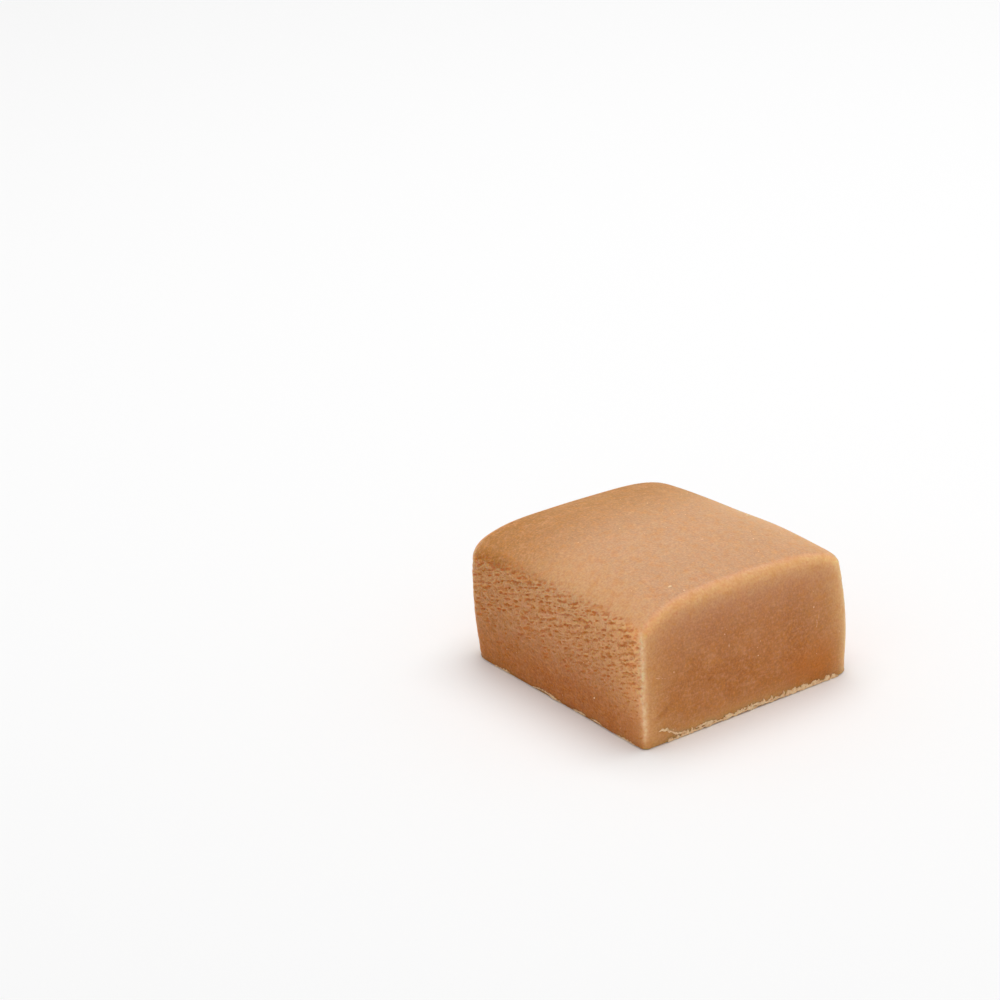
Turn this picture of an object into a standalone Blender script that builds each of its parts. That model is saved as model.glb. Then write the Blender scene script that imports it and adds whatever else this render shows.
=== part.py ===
"""One cut piece of vanilla fudge.

A low block that was cut from a slab. The two ends (+X and -X) were sliced clean
and are smooth. The two long sides (+Y and -Y) were chopped by a guillotine: the
skin of the top rolls down over them, and below it the crumb is torn into pits
and short wavy grooves. The block stands on the flat face that lay on the tray.

The frame has its origin at the middle of the underside, X along the long sides
and +Z up. Sizes below are in millimetres and become metres at the end.
"""

import bmesh
import bpy
import numpy as np

MM = 0.001

# Block before its edges are softened.
LENGTH = 27.0
WIDTH = 24.5
HEIGHT = 13.05

# How far each corner strays from the plain block, at its foot and at its head.
CORNERS = {
    (+1, -1): {"foot": (0.40, -0.36, 0.0), "head": (-0.24, 0.17, 0.60)},
    (+1, +1): {"foot": (0.10, 0.38, 0.0), "head": (-0.22, -0.19, 0.12)},
    (-1, -1): {"foot": (-0.30, 0.30, 0.0), "head": (0.11, 0.07, -0.09)},
    (-1, +1): {"foot": (0.10, 0.02, 0.0), "head": (0.0, -0.40, -0.58)},
}

# Edge radii. The upright edge between the cleanest cuts is the crispest.
UPRIGHT_RADIUS = {(+1, -1): 0.65, (+1, +1): 2.0, (-1, -1): 2.4, (-1, +1): 1.8}
TOP_RADIUS = 1.15
FOOT_RADIUS = 0.12

# The blade dragged the top skin down towards each side: depth and reach.
TOP_FALL = {"-y": (1.68, 2.5), "+y": (1.07, 2.5), "-x": (0.50, 3.4), "+x": (0.38, 3.4)}
CROWN = 0.93
RIDGE = 0.35
SIDE_BULGE = 0.35
END_BULGE = 0.44

# Unevenness of the whole surface, and the thin lip that spread on the tray.
SWELL_SIZE = 6.5
SWELL_DEPTH = 0.11
LIP_HEIGHT = 0.32
LIP_DEPTH = 0.15

# Torn crumb of the two long sides.
HOLE_SIZE = (0.90, 0.48)
HOLE_DEPTH = 0.27
LUMP_SIZE = (1.5, 1.0)
LUMP_DEPTH = 0.09

# Short stacked grooves beside the crisp upright edge: start x, end x, height.
EDGE_GROOVES = (
    (10.6, 12.2, 11.1),
    (11.4, 13.0, 10.3),
    (10.2, 11.8, 9.6),
    (11.3, 12.9, 9.2),
    (10.7, 12.8, 7.9),
    (11.6, 13.1, 7.2),
    (12.0, 13.1, 6.4),
)
# Longer wavy grooves further along the side.
LONG_GROOVES = (
    (-2.6, 1.6, 9.0),
    (-8.9, -6.6, 8.9),
    (2.4, 4.6, 8.2),
    (4.0, 6.6, 10.0),
    (-6.4, -4.6, 10.3),
)

# Marks on the smooth end: a small dent near the crisp corner, and a pinhole.
DENTS = (
    {"y": -10.5, "z": 3.5, "width": 1.1, "height": 0.6, "depth": 0.20},
    {"y": -5.0, "z": 5.1, "width": 0.35, "height": 0.25, "depth": 0.18},
)

CUTS = 88
TRIANGLES = 9600
SEED = 27

FUDGE_COLOUR = (0.545, 0.268, 0.118, 1.0)
FUDGE_ROUGHNESS = 0.52


def smooth_step(low, high, value):
    """0 below low, 1 above high, and an S-curve between."""
    t = np.clip((value - low) / (high - low), 0.0, 1.0)
    return t * t * (3.0 - 2.0 * t)


def lattice_value(ix, iy, iz, seed):
    """A repeatable value from -1 to 1 for each whole-numbered lattice point."""
    mix = ix * 374761393 + iy * 668265263 + iz * 1440662683 + seed * 974634777
    mix = mix & 0xFFFFFFFF
    mix = ((mix ^ (mix >> 13)) * 1274126177) & 0xFFFFFFFF
    mix = mix ^ (mix >> 16)
    return (mix & 0xFFFFFF) / float(0x7FFFFF) - 1.0


def noise(points, seed):
    """Smooth lattice noise from -1 to 1, with one cell per unit of length."""
    cell = np.floor(points).astype(np.int64)
    t = points - cell
    t = t * t * (3.0 - 2.0 * t)
    total = np.zeros(len(points))
    for dx in (0, 1):
        wx = t[:, 0] if dx else 1.0 - t[:, 0]
        for dy in (0, 1):
            wy = t[:, 1] if dy else 1.0 - t[:, 1]
            for dz in (0, 1):
                wz = t[:, 2] if dz else 1.0 - t[:, 2]
                corner = lattice_value(
                    cell[:, 0] + dx, cell[:, 1] + dy, cell[:, 2] + dz, seed
                )
                total += wx * wy * wz * corner
    return total


def spread(t):
    """Crowds the grid lines of the cube towards its edges."""
    return np.sign(t) * (1.0 - (1.0 - np.abs(t)) ** 1.35)


def round_uprights(p):
    """Rounds the four upright edges, each with its own radius."""
    half = np.array([LENGTH / 2, WIDTH / 2])
    radius = np.zeros(len(p))
    for (sx, sy), value in UPRIGHT_RADIUS.items():
        mine = (np.sign(p[:, 0] + 1e-9) == sx) & (np.sign(p[:, 1] + 1e-9) == sy)
        radius[mine] = value
    limit = half[None, :] - radius[:, None]
    core = np.clip(p[:, :2], -limit, limit)
    arm = p[:, :2] - core
    reach = np.hypot(arm[:, 0], arm[:, 1])
    square = np.maximum(np.abs(arm[:, 0]), np.abs(arm[:, 1]))
    turned = reach > 1e-9
    scale = np.where(turned, square / np.maximum(reach, 1e-9), 1.0)
    inside = np.minimum(half[0] - np.abs(p[:, 0]), half[1] - np.abs(p[:, 1]))
    inside = np.where(turned, np.minimum(inside, radius - square), inside)
    out = p.copy()
    out[:, :2] = core + arm * scale[:, None]
    return out, np.maximum(inside, 0.0)


def round_rims(p, inside):
    """Rounds the top rim and, much more tightly, the foot."""
    half = HEIGHT / 2
    radius = np.where(p[:, 2] > 0.0, TOP_RADIUS, FOOT_RADIUS)
    across = np.maximum(radius - inside, 0.0)
    along = np.maximum(radius - (half - np.abs(p[:, 2])), 0.0)
    both = (across > 0.0) & (along > 0.0)
    length = np.maximum(np.hypot(across, along), 1e-9)
    factor = np.where(both, np.maximum(across, along) / length, 1.0)
    limit_x = LENGTH / 2 - radius
    limit_y = WIDTH / 2 - radius
    core = np.stack(
        [np.clip(p[:, 0], -limit_x, limit_x), np.clip(p[:, 1], -limit_y, limit_y)], 1
    )
    arm = p[:, :2] - core
    reach = np.maximum(np.hypot(arm[:, 0], arm[:, 1]), 1e-9)
    pull = np.where(both, across * (1.0 - factor), 0.0)
    out = p.copy()
    out[:, :2] -= arm / reach[:, None] * pull[:, None]
    out[:, 2] -= np.where(both, np.sign(p[:, 2]) * along * (1.0 - factor), 0.0)
    out[:, 2] += half
    return out


def let_top_fall(p):
    """Drags the top down near each side, as the blade left it."""
    rise = np.clip(p[:, 2] / HEIGHT, 0.0, 1.0)
    gaps = {
        "-y": WIDTH / 2 + p[:, 1],
        "+y": WIDTH / 2 - p[:, 1],
        "-x": LENGTH / 2 + p[:, 0],
        "+x": LENGTH / 2 - p[:, 0],
    }
    out = p.copy()
    for side, gap in gaps.items():
        depth, reach = TOP_FALL[side]
        out[:, 2] -= depth * np.exp(-((np.maximum(gap, 0.0) / reach) ** 1.2)) * rise**2
    return out


def raise_crown(p):
    """Domes the top, as the slab's skin did over its soft middle."""
    u = p[:, 0] / (LENGTH / 2)
    v = p[:, 1] / (WIDTH / 2)
    rise = np.clip(p[:, 2] / HEIGHT, 0.0, 1.0)
    dome = CROWN * (1.0 - u**2) * (1.0 - v**2) + RIDGE * (1.0 - v**4)
    out = p.copy()
    out[:, 2] += dome * rise**2
    return out


def bulge_sides(p):
    """Lets the upright faces swell a little at half height."""
    swell = np.sin(np.pi * np.clip(p[:, 2] / HEIGHT, 0.0, 1.0))
    out = p.copy()
    out[:, 0] += np.sign(p[:, 0]) * END_BULGE * swell * np.abs(p[:, 0] / (LENGTH / 2)) ** 3
    out[:, 1] += np.sign(p[:, 1]) * SIDE_BULGE * swell * np.abs(p[:, 1] / (WIDTH / 2)) ** 3
    return out


def skew_corners(p):
    """Moves the block's eight corners, and everything between in proportion."""
    u = p[:, 0] / (LENGTH / 2)
    v = p[:, 1] / (WIDTH / 2)
    rise = np.clip(p[:, 2] / HEIGHT, 0.0, 1.0)
    out = p.copy()
    for (sx, sy), ends in CORNERS.items():
        share = (1.0 + sx * u) * (1.0 + sy * v) / 4.0
        out += (share * (1.0 - rise))[:, None] * np.array(ends["foot"])
        out += (share * rise)[:, None] * np.array(ends["head"])
    return out


def block_surface(cube):
    """Turns points of the cube from -1 to 1 into the plain, unmarked block."""
    p = spread(cube) * np.array([LENGTH / 2, WIDTH / 2, HEIGHT / 2])
    p, inside = round_uprights(p)
    p = round_rims(p, inside)
    p = let_top_fall(p)
    p = raise_crown(p)
    p = bulge_sides(p)
    return skew_corners(p)


def hollow(s, z, at, size, depth, lean=0.0):
    """An oval pit in a face: s runs along the face and z up it."""
    ds = (s - at[0]) / size[0]
    dz = (z - at[1] - lean * (s - at[0])) / size[1]
    inner = np.clip(1.0 - ds * ds - dz * dz, 0.0, 1.0)
    return depth * inner**1.4


def groove(s, z, start, end, height, seed):
    """0 to 1 inside a short wavy groove, deepest at its middle."""
    span = np.clip((s - start) / (end - start), 0.0, 1.0)
    wave = 0.16 * np.sin(3.1 * s + seed) + 0.07 * np.sin(7.7 * s + 2.0 * seed)
    off = (z - height - wave) / 0.24
    inner = np.clip(1.0 - off * off, 0.0, 1.0)
    return np.clip(np.sin(np.pi * span), 0.0, 1.0) ** 0.5 * inner


def torn_side(s, z, seed):
    """How deep the crumb of one long side is torn, in millimetres."""
    plane = np.stack([s, z, np.zeros(len(s))], 1)
    wander = noise(plane / 3.2 + 5.1, seed + 9)
    height = z + 0.8 * wander
    upper = smooth_step(3.0, 7.0, height) * (1.0 - smooth_step(11.9, 12.6, z - 0.03 * s))
    rim = np.exp(-(((z - 11.45 - 0.030 * s - 0.12 * wander) / 0.30) ** 2))
    coarse = noise(plane / np.array([*HOLE_SIZE, 1.0]), seed)
    level = 1.05 * coarse - 0.62 + 0.36 * upper + 0.30 * rim
    holes = smooth_step(0.0, 0.40, level) * smooth_step(2.4, 5.2, height)
    for number, cut in enumerate(EDGE_GROOVES + LONG_GROOVES):
        holes = np.maximum(holes, groove(s, z, *cut, number + seed))
    lumps = LUMP_DEPTH * noise(plane / np.array([*LUMP_SIZE, 1.0]) + 9.0, seed + 2)
    return lumps * (0.22 + 0.78 * upper) + HOLE_DEPTH * holes


def end_marks(points):
    """The dent and pinhole in the smooth +X end."""
    depth = np.zeros(len(points))
    for mark in DENTS:
        at = (mark["y"], mark["z"])
        size = (mark["width"], mark["height"])
        depth += hollow(points[:, 1], points[:, 2], at, size, mark["depth"], 0.7)
    return depth


def relief(points, normals):
    """Movement of each point along its normal, outwards positive."""
    clear_of_foot = smooth_step(0.25, 1.2, points[:, 2])
    swell = SWELL_DEPTH * noise(points / SWELL_SIZE + 11.3, SEED)
    move = swell * clear_of_foot
    near = smooth_step(0.55, 0.95, -normals[:, 1])
    far = smooth_step(0.55, 0.95, normals[:, 1])
    x, z = points[:, 0], points[:, 2]
    move -= near * clear_of_foot * torn_side(x, z, SEED + 1)
    move -= far * clear_of_foot * torn_side(-x, z, SEED + 2)
    move -= smooth_step(0.8, 0.97, normals[:, 0]) * end_marks(points)
    ragged = 0.5 + 0.5 * noise(points * np.array([1.3, 1.3, 0.4]) + 3.7, SEED + 5)
    in_lip = (1.0 - smooth_step(0.70, 1.0, z / LIP_HEIGHT)) * (z > 1e-6)
    return move + LIP_DEPTH * ragged * in_lip


def build_grid():
    """A cube divided into a fine grid, every vertex on its surface."""
    bm = bmesh.new()
    bmesh.ops.create_cube(bm, size=2.0)
    bmesh.ops.subdivide_edges(bm, edges=bm.edges[:], cuts=CUTS, use_grid_fill=True)
    bm.verts.ensure_lookup_table()
    return bm


def set_points(bm, points):
    """Writes a table of points back to the mesh's vertices."""
    for vert, point in zip(bm.verts, points):
        vert.co = point
    bm.normal_update()


def make_material():
    """Warm, slightly soft-looking caramel brown."""
    material = bpy.data.materials.new("fudge")
    material.use_nodes = True
    shader = material.node_tree.nodes["Principled BSDF"]
    shader.inputs["Base Color"].default_value = FUDGE_COLOUR
    shader.inputs["Roughness"].default_value = FUDGE_ROUGHNESS
    shader.inputs["Metallic"].default_value = 0.0
    material.diffuse_color = FUDGE_COLOUR
    return material


def simplify(piece):
    """Spends the triangles on the torn sides and few on the flat ones."""
    full = sum(len(face.vertices) - 2 for face in piece.data.polygons)
    decimate = piece.modifiers.new("keep relief", "DECIMATE")
    decimate.ratio = TRIANGLES / full
    decimate.use_collapse_triangulate = True
    graph = bpy.context.evaluated_depsgraph_get()
    light = bpy.data.meshes.new_from_object(piece.evaluated_get(graph))
    piece.modifiers.clear()
    piece.data = light
    light.name = "fudge_piece"
    for vert in light.vertices:
        if vert.co.z < 0.03 * MM:
            vert.co.z = 0.0


def make_piece(collection):
    """Models the one solid piece of fudge."""
    bm = build_grid()
    cube = np.array([vert.co[:] for vert in bm.verts])
    points = block_surface(cube)
    set_points(bm, points)
    normals = np.array([vert.normal[:] for vert in bm.verts])
    points = points + normals * relief(points, normals)[:, None]
    points[:, 2] = np.maximum(points[:, 2], 0.0)
    middle = (points.max(axis=0) + points.min(axis=0)) / 2.0
    points[:, :2] -= middle[:2]
    set_points(bm, points * MM)
    mesh = bpy.data.meshes.new("fudge_grid")
    bm.to_mesh(mesh)
    bm.free()
    piece = bpy.data.objects.new("fudge_piece", mesh)
    collection.objects.link(piece)
    piece.data.materials.append(make_material())
    simplify(piece)
    piece.data.shade_smooth()
    return piece


def main():
    for old in list(bpy.data.objects):
        bpy.data.objects.remove(old, do_unlink=True)
    collection = bpy.data.collections.new("vanilla_fudge")
    bpy.context.scene.collection.children.link(collection)
    make_piece(collection)


main()
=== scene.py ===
# %% [markdown]
# # One piece of vanilla fudge
#
# This lesson dresses a plain solid block of fudge with the surface of the real
# sweet. The real piece is cut from a slab: its top is a dry, fine-grained skin,
# its two ends are sliced clean, and its two long sides are chopped, so the crumb
# is torn into pits. We keep the solid's size and place, and build a finer skin
# for it, because a cook's eye reads fudge by its crumb and its soft glow.

# %% Load the solid that the skin has to fit
import math
import bmesh
import bpy
import numpy as np
from mathutils import Matrix, Quaternion, Vector
from mathutils.bvhtree import BVHTree


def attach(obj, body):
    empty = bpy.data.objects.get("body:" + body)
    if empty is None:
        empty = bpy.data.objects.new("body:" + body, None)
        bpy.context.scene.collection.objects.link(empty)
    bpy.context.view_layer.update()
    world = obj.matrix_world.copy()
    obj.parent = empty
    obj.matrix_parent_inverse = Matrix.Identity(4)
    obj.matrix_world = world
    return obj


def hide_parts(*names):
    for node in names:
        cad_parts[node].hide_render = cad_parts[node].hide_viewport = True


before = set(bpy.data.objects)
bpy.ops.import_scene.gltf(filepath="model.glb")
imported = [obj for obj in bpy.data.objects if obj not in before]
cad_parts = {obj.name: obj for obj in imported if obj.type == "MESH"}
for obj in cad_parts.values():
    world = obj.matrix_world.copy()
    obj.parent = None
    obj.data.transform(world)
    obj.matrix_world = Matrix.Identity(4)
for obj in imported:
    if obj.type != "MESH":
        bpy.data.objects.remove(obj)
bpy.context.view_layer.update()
print("nodes:", sorted(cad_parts))

# %% [markdown]
# ## Sizes
#
# Everything below is in millimetres and becomes metres at the end. The block is
# described before its edges soften: three sizes, how far each corner strays, a
# radius for every kind of edge, and how far the blade dragged the top skin down.
# A modeller could also push a subdivided cube about by hand, but named sizes can
# be checked against the solid and changed one at a time.

# %% Sizes of the block
MM = 0.001
LENGTH, WIDTH, HEIGHT = 27.0, 24.5, 13.05
CORNERS = {
    (+1, -1): {"foot": (0.40, -0.36, 0.0), "head": (-0.24, 0.17, 0.60)},
    (+1, +1): {"foot": (0.10, 0.38, 0.0), "head": (-0.22, -0.19, 0.12)},
    (-1, -1): {"foot": (-0.30, 0.30, 0.0), "head": (0.11, 0.07, -0.09)},
    (-1, +1): {"foot": (0.10, 0.02, 0.0), "head": (0.0, -0.40, -0.58)},
}
UPRIGHT_RADIUS = {(+1, -1): 0.65, (+1, +1): 2.0, (-1, -1): 2.4, (-1, +1): 1.8}
TOP_RADIUS, FOOT_RADIUS = 1.15, 0.12
TOP_FALL = {"-y": (1.68, 2.5), "+y": (1.07, 2.5), "-x": (0.50, 3.4), "+x": (0.38, 3.4)}
CROWN, RIDGE = 0.93, 0.35
SIDE_BULGE, END_BULGE = 0.35, 0.44
SEED = 27
print("block", LENGTH, "x", WIDTH, "x", HEIGHT, "mm")

# %% [markdown]
# ## Helpers for uneven surfaces
#
# Torn sugar is uneven at every size, so we need repeatable noise. Value noise
# gives smooth swells, and layers of it give ragged crumb. Blender has noise
# textures too, but working it out on the points lets the same numbers shape the
# mesh and tint it.

# %% Noise helpers
def smooth_step(low, high, value):
    """0 below low, 1 above high, and an S-curve between."""
    t = np.clip((value - low) / (high - low), 0.0, 1.0)
    return t * t * (3.0 - 2.0 * t)


def lattice_value(ix, iy, iz, seed):
    """A repeatable value from -1 to 1 for each whole-numbered lattice point."""
    mix = ix * 374761393 + iy * 668265263 + iz * 1440662683 + seed * 974634777
    mix = mix & 0xFFFFFFFF
    mix = ((mix ^ (mix >> 13)) * 1274126177) & 0xFFFFFFFF
    mix = mix ^ (mix >> 16)
    return (mix & 0xFFFFFF) / float(0x7FFFFF) - 1.0


def noise(points, seed):
    """Smooth lattice noise from -1 to 1, with one cell per unit of length."""
    cell = np.floor(points).astype(np.int64)
    t = points - cell
    t = t * t * (3.0 - 2.0 * t)
    total = np.zeros(len(points))
    for dx in (0, 1):
        wx = t[:, 0] if dx else 1.0 - t[:, 0]
        for dy in (0, 1):
            wy = t[:, 1] if dy else 1.0 - t[:, 1]
            for dz in (0, 1):
                wz = t[:, 2] if dz else 1.0 - t[:, 2]
                value = lattice_value(cell[:, 0] + dx, cell[:, 1] + dy, cell[:, 2] + dz, seed)
                total += wx * wy * wz * value
    return total


def layered_noise(points, seed, layers=3):
    """Noise at several sizes, each half as large and half as strong."""
    total = np.zeros(len(points))
    for layer in range(layers):
        total += noise(points * 2.0**layer + 17.3 * layer, seed + layer) * 0.5**layer
    return total


print("noise at the origin:", round(float(noise(np.zeros((1, 3)) + 0.3, SEED)[0]), 3))

# %% [markdown]
# ## The plain block
#
# We start from the surface of a cube, divided into a fine grid that is denser at
# the edges, and move its points in steps: round the upright edges, round the top
# rim and the foot, let the top fall towards the sides, let the sides swell, and
# skew the corners. Each step is one thing that happened to the real piece.

# %% A cube's surface as a grid
GRID_X, GRID_Y, GRID_Z = 400, 150, 190


def spread(t):
    """Crowds the grid lines of the cube towards its edges."""
    return np.sign(t) * (1.0 - (1.0 - np.abs(t)) ** 1.2)


def cube_grid(nx, ny, nz):
    """Points on a cube from -1 to 1 and the quads that join them."""
    inner = np.zeros((nx + 1, ny + 1, nz + 1), bool)
    inner[1:-1, 1:-1, 1:-1] = True
    index = np.full(inner.shape, -1, np.int64)
    index[~inner] = np.arange((~inner).sum())
    at = np.argwhere(~inner)
    points = at / np.array([nx, ny, nz]) * 2.0 - 1.0
    quads = []
    for axis in range(3):
        for end in (0, -1):
            sheet = np.take(index, end, axis=axis)
            corners = [sheet[:-1, :-1], sheet[1:, :-1], sheet[1:, 1:], sheet[:-1, 1:]]
            quad = np.stack([c.ravel() for c in corners], 1)
            outward = (end == -1) == (axis != 1)
            quads.append(quad if outward else quad[:, ::-1])
    return points, np.concatenate(quads)


cube, quads = cube_grid(GRID_X, GRID_Y, GRID_Z)
print("grid:", len(cube), "points and", 2 * len(quads), "triangles")

# %% From the cube to the block
def round_uprights(p):
    """Rounds the four upright edges, each with its own radius."""
    half = np.array([LENGTH / 2, WIDTH / 2])
    radius = np.zeros(len(p))
    for (sx, sy), value in UPRIGHT_RADIUS.items():
        mine = (np.sign(p[:, 0] + 1e-9) == sx) & (np.sign(p[:, 1] + 1e-9) == sy)
        radius[mine] = value
    limit = half[None, :] - radius[:, None]
    core = np.clip(p[:, :2], -limit, limit)
    arm = p[:, :2] - core
    reach = np.hypot(arm[:, 0], arm[:, 1])
    square = np.maximum(np.abs(arm[:, 0]), np.abs(arm[:, 1]))
    turned = reach > 1e-9
    scale = np.where(turned, square / np.maximum(reach, 1e-9), 1.0)
    inside = np.minimum(half[0] - np.abs(p[:, 0]), half[1] - np.abs(p[:, 1]))
    inside = np.where(turned, np.minimum(inside, radius - square), inside)
    out = p.copy()
    out[:, :2] = core + arm * scale[:, None]
    return out, np.maximum(inside, 0.0)


def round_rims(p, inside):
    """Rounds the top rim and, much more tightly, the foot."""
    half = HEIGHT / 2
    radius = np.where(p[:, 2] > 0.0, TOP_RADIUS, FOOT_RADIUS)
    across = np.maximum(radius - inside, 0.0)
    along = np.maximum(radius - (half - np.abs(p[:, 2])), 0.0)
    both = (across > 0.0) & (along > 0.0)
    length = np.maximum(np.hypot(across, along), 1e-9)
    factor = np.where(both, np.maximum(across, along) / length, 1.0)
    limit_x, limit_y = LENGTH / 2 - radius, WIDTH / 2 - radius
    core = np.stack([np.clip(p[:, 0], -limit_x, limit_x), np.clip(p[:, 1], -limit_y, limit_y)], 1)
    arm = p[:, :2] - core
    reach = np.maximum(np.hypot(arm[:, 0], arm[:, 1]), 1e-9)
    pull = np.where(both, across * (1.0 - factor), 0.0)
    out = p.copy()
    out[:, :2] -= arm / reach[:, None] * pull[:, None]
    out[:, 2] -= np.where(both, np.sign(p[:, 2]) * along * (1.0 - factor), 0.0)
    out[:, 2] += half
    return out


def let_top_fall(p):
    """Drags the top down near each side, as the blade left it."""
    rise = np.clip(p[:, 2] / HEIGHT, 0.0, 1.0)
    gaps = {
        "-y": WIDTH / 2 + p[:, 1],
        "+y": WIDTH / 2 - p[:, 1],
        "-x": LENGTH / 2 + p[:, 0],
        "+x": LENGTH / 2 - p[:, 0],
    }
    out = p.copy()
    for side, gap in gaps.items():
        depth, reach = TOP_FALL[side]
        out[:, 2] -= depth * np.exp(-((np.maximum(gap, 0.0) / reach) ** 1.2)) * rise**2
    return out


def raise_crown(p):
    """Domes the top, as the slab's skin did over its soft middle."""
    u, v = p[:, 0] / (LENGTH / 2), p[:, 1] / (WIDTH / 2)
    rise = np.clip(p[:, 2] / HEIGHT, 0.0, 1.0)
    out = p.copy()
    out[:, 2] += (CROWN * (1.0 - u**2) * (1.0 - v**2) + RIDGE * (1.0 - v**4)) * rise**2
    return out


def bulge_sides(p):
    """Lets the upright faces swell a little at half height."""
    swell = np.sin(np.pi * np.clip(p[:, 2] / HEIGHT, 0.0, 1.0))
    out = p.copy()
    out[:, 0] += np.sign(p[:, 0]) * END_BULGE * swell * np.abs(p[:, 0] / (LENGTH / 2)) ** 3
    out[:, 1] += np.sign(p[:, 1]) * SIDE_BULGE * swell * np.abs(p[:, 1] / (WIDTH / 2)) ** 3
    return out


def skew_corners(p):
    """Moves the block's eight corners, and everything between in proportion."""
    u = p[:, 0] / (LENGTH / 2)
    v = p[:, 1] / (WIDTH / 2)
    rise = np.clip(p[:, 2] / HEIGHT, 0.0, 1.0)
    out = p.copy()
    for (sx, sy), ends in CORNERS.items():
        share = (1.0 + sx * u) * (1.0 + sy * v) / 4.0
        out += (share * (1.0 - rise))[:, None] * np.array(ends["foot"])
        out += (share * rise)[:, None] * np.array(ends["head"])
    return out


flat = spread(cube) * np.array([LENGTH / 2, WIDTH / 2, HEIGHT / 2])
points, inside = round_uprights(flat)
points = round_rims(points, inside)
points = raise_crown(let_top_fall(points))
points = bulge_sides(points)
points = skew_corners(points)
print("plain block:", (points.max(0) - points.min(0)).round(2), "mm")

# %% [markdown]
# ## Which way each point faces
#
# Relief is cut along the surface's own normal, so that a pit on the rolled edge
# slopes with it. NumPy can add up the normals of the quads round each point.

# %% Normals of a quad mesh
def point_normals(points, quads):
    """The average outward normal at each point."""
    a, b, c, d = (points[quads[:, k]] for k in range(4))
    face = np.cross(c - a, d - b)
    total = np.zeros_like(points)
    for k in range(4):
        np.add.at(total, quads[:, k], face)
    return total / np.maximum(np.linalg.norm(total, axis=1), 1e-12)[:, None]


normals = point_normals(points, quads)
x, y, z = points.T
near_side = smooth_step(0.55, 0.95, -normals[:, 1])
far_side = smooth_step(0.55, 0.95, normals[:, 1])
right_end = smooth_step(0.75, 0.97, normals[:, 0])
left_end = smooth_step(0.75, 0.97, -normals[:, 0])
top_skin = smooth_step(0.18, 0.70, normals[:, 2])
rolled = smooth_step(0.10, 0.55, np.abs(normals[:, 1])) * smooth_step(0.2, 0.7, normals[:, 2])
clear_of_foot = smooth_step(0.25, 1.2, z)
print("points on the top skin:", int((top_skin > 0.5).sum()))

# %% [markdown]
# ## The torn crumb of the long sides
#
# Where the blade chopped rather than sliced, sugar grains were pulled out. They
# left small oval pits, close together, with a row of larger ones just under the
# rolled skin and short wavy grooves beside the crisp edge. Each cell of a lattice
# gets one pit at a random place, of a random size, so the pits neither overlap
# much nor line up, which a plain random scatter would let them do.

# %% Pits, rim row and grooves
LEAN = 0.3
PITS = {"cell": (0.84, 0.58), "size": (0.38, 0.135), "chance": 0.60}
SMALL_PITS = {"cell": (0.48, 0.34), "size": (0.20, 0.095), "chance": 0.62}
RIM_PITS = {"cell": (0.80, 0.50), "size": (0.36, 0.15), "chance": 0.74}
PIT_DEPTH = 0.16
EDGE_GROOVES = (
    (10.6, 12.2, 11.1),
    (11.4, 13.1, 10.3),
    (10.2, 11.8, 9.6),
    (11.4, 13.1, 9.2),
    (10.7, 12.9, 8.0),
    (11.6, 13.2, 7.2),
    (12.0, 13.2, 6.4),
)
LONG_GROOVES = (
    (-2.6, 1.6, 9.0),
    (-8.9, -6.6, 8.9),
    (2.4, 4.6, 8.2),
    (4.0, 6.6, 10.0),
    (-6.4, -4.6, 10.3),
)


def on_plane(s, z):
    """Places on a face as points, for the noise."""
    return np.stack([s, z, np.zeros(len(s))], 1)


def pits(s, z, kind, share, seed):
    """0 to 1 inside oval pits, one or none in each cell of a leaning lattice."""
    wobble = 0.30 * noise(on_plane(s, z) / 0.17 + 3.0, seed + 50)
    u, v = s / kind["cell"][0], (z - LEAN * s) / kind["cell"][1]
    column, row = np.floor(u).astype(np.int64), np.floor(v).astype(np.int64)
    deepest = np.zeros(len(s))
    for du in (-1, 0, 1):
        for dv in (-1, 0, 1):
            cell = (column + du, row + dv, 0)
            big = 1.0 + 0.45 * lattice_value(*cell, seed + 2)
            wanted = 2.0 * kind["chance"] * share - 1.0 - lattice_value(*cell, seed + 3)
            ds = (u - column - du - 0.5 - 0.45 * lattice_value(*cell, seed)) * kind["cell"][0]
            dz = (v - row - dv - 0.5 - 0.28 * lattice_value(*cell, seed + 1)) * kind["cell"][1]
            away = np.hypot(ds / kind["size"][0], dz / kind["size"][1]) / big + wobble
            pit = (1.0 - smooth_step(0.35, 1.08, away)) * smooth_step(-0.15, 0.15, wanted)
            deepest = np.maximum(deepest, pit * (0.6 + 0.4 * big))
    return np.clip(deepest, 0.0, 1.0)


def groove(s, z, start, end, height, seed):
    """0 to 1 inside a short wavy groove that climbs along the side."""
    span = np.clip((s - start) / (end - start), 0.0, 1.0)
    wave = 0.22 * (s - (start + end) / 2) + 0.07 * np.sin(5.3 * s + seed)
    off = (z - height - wave - 0.04 * np.sin(11.7 * s + 2.0 * seed)) / 0.18
    return np.sin(np.pi * span) ** 0.5 * np.clip(1.0 - off * off, 0.0, 1.0)


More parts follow.
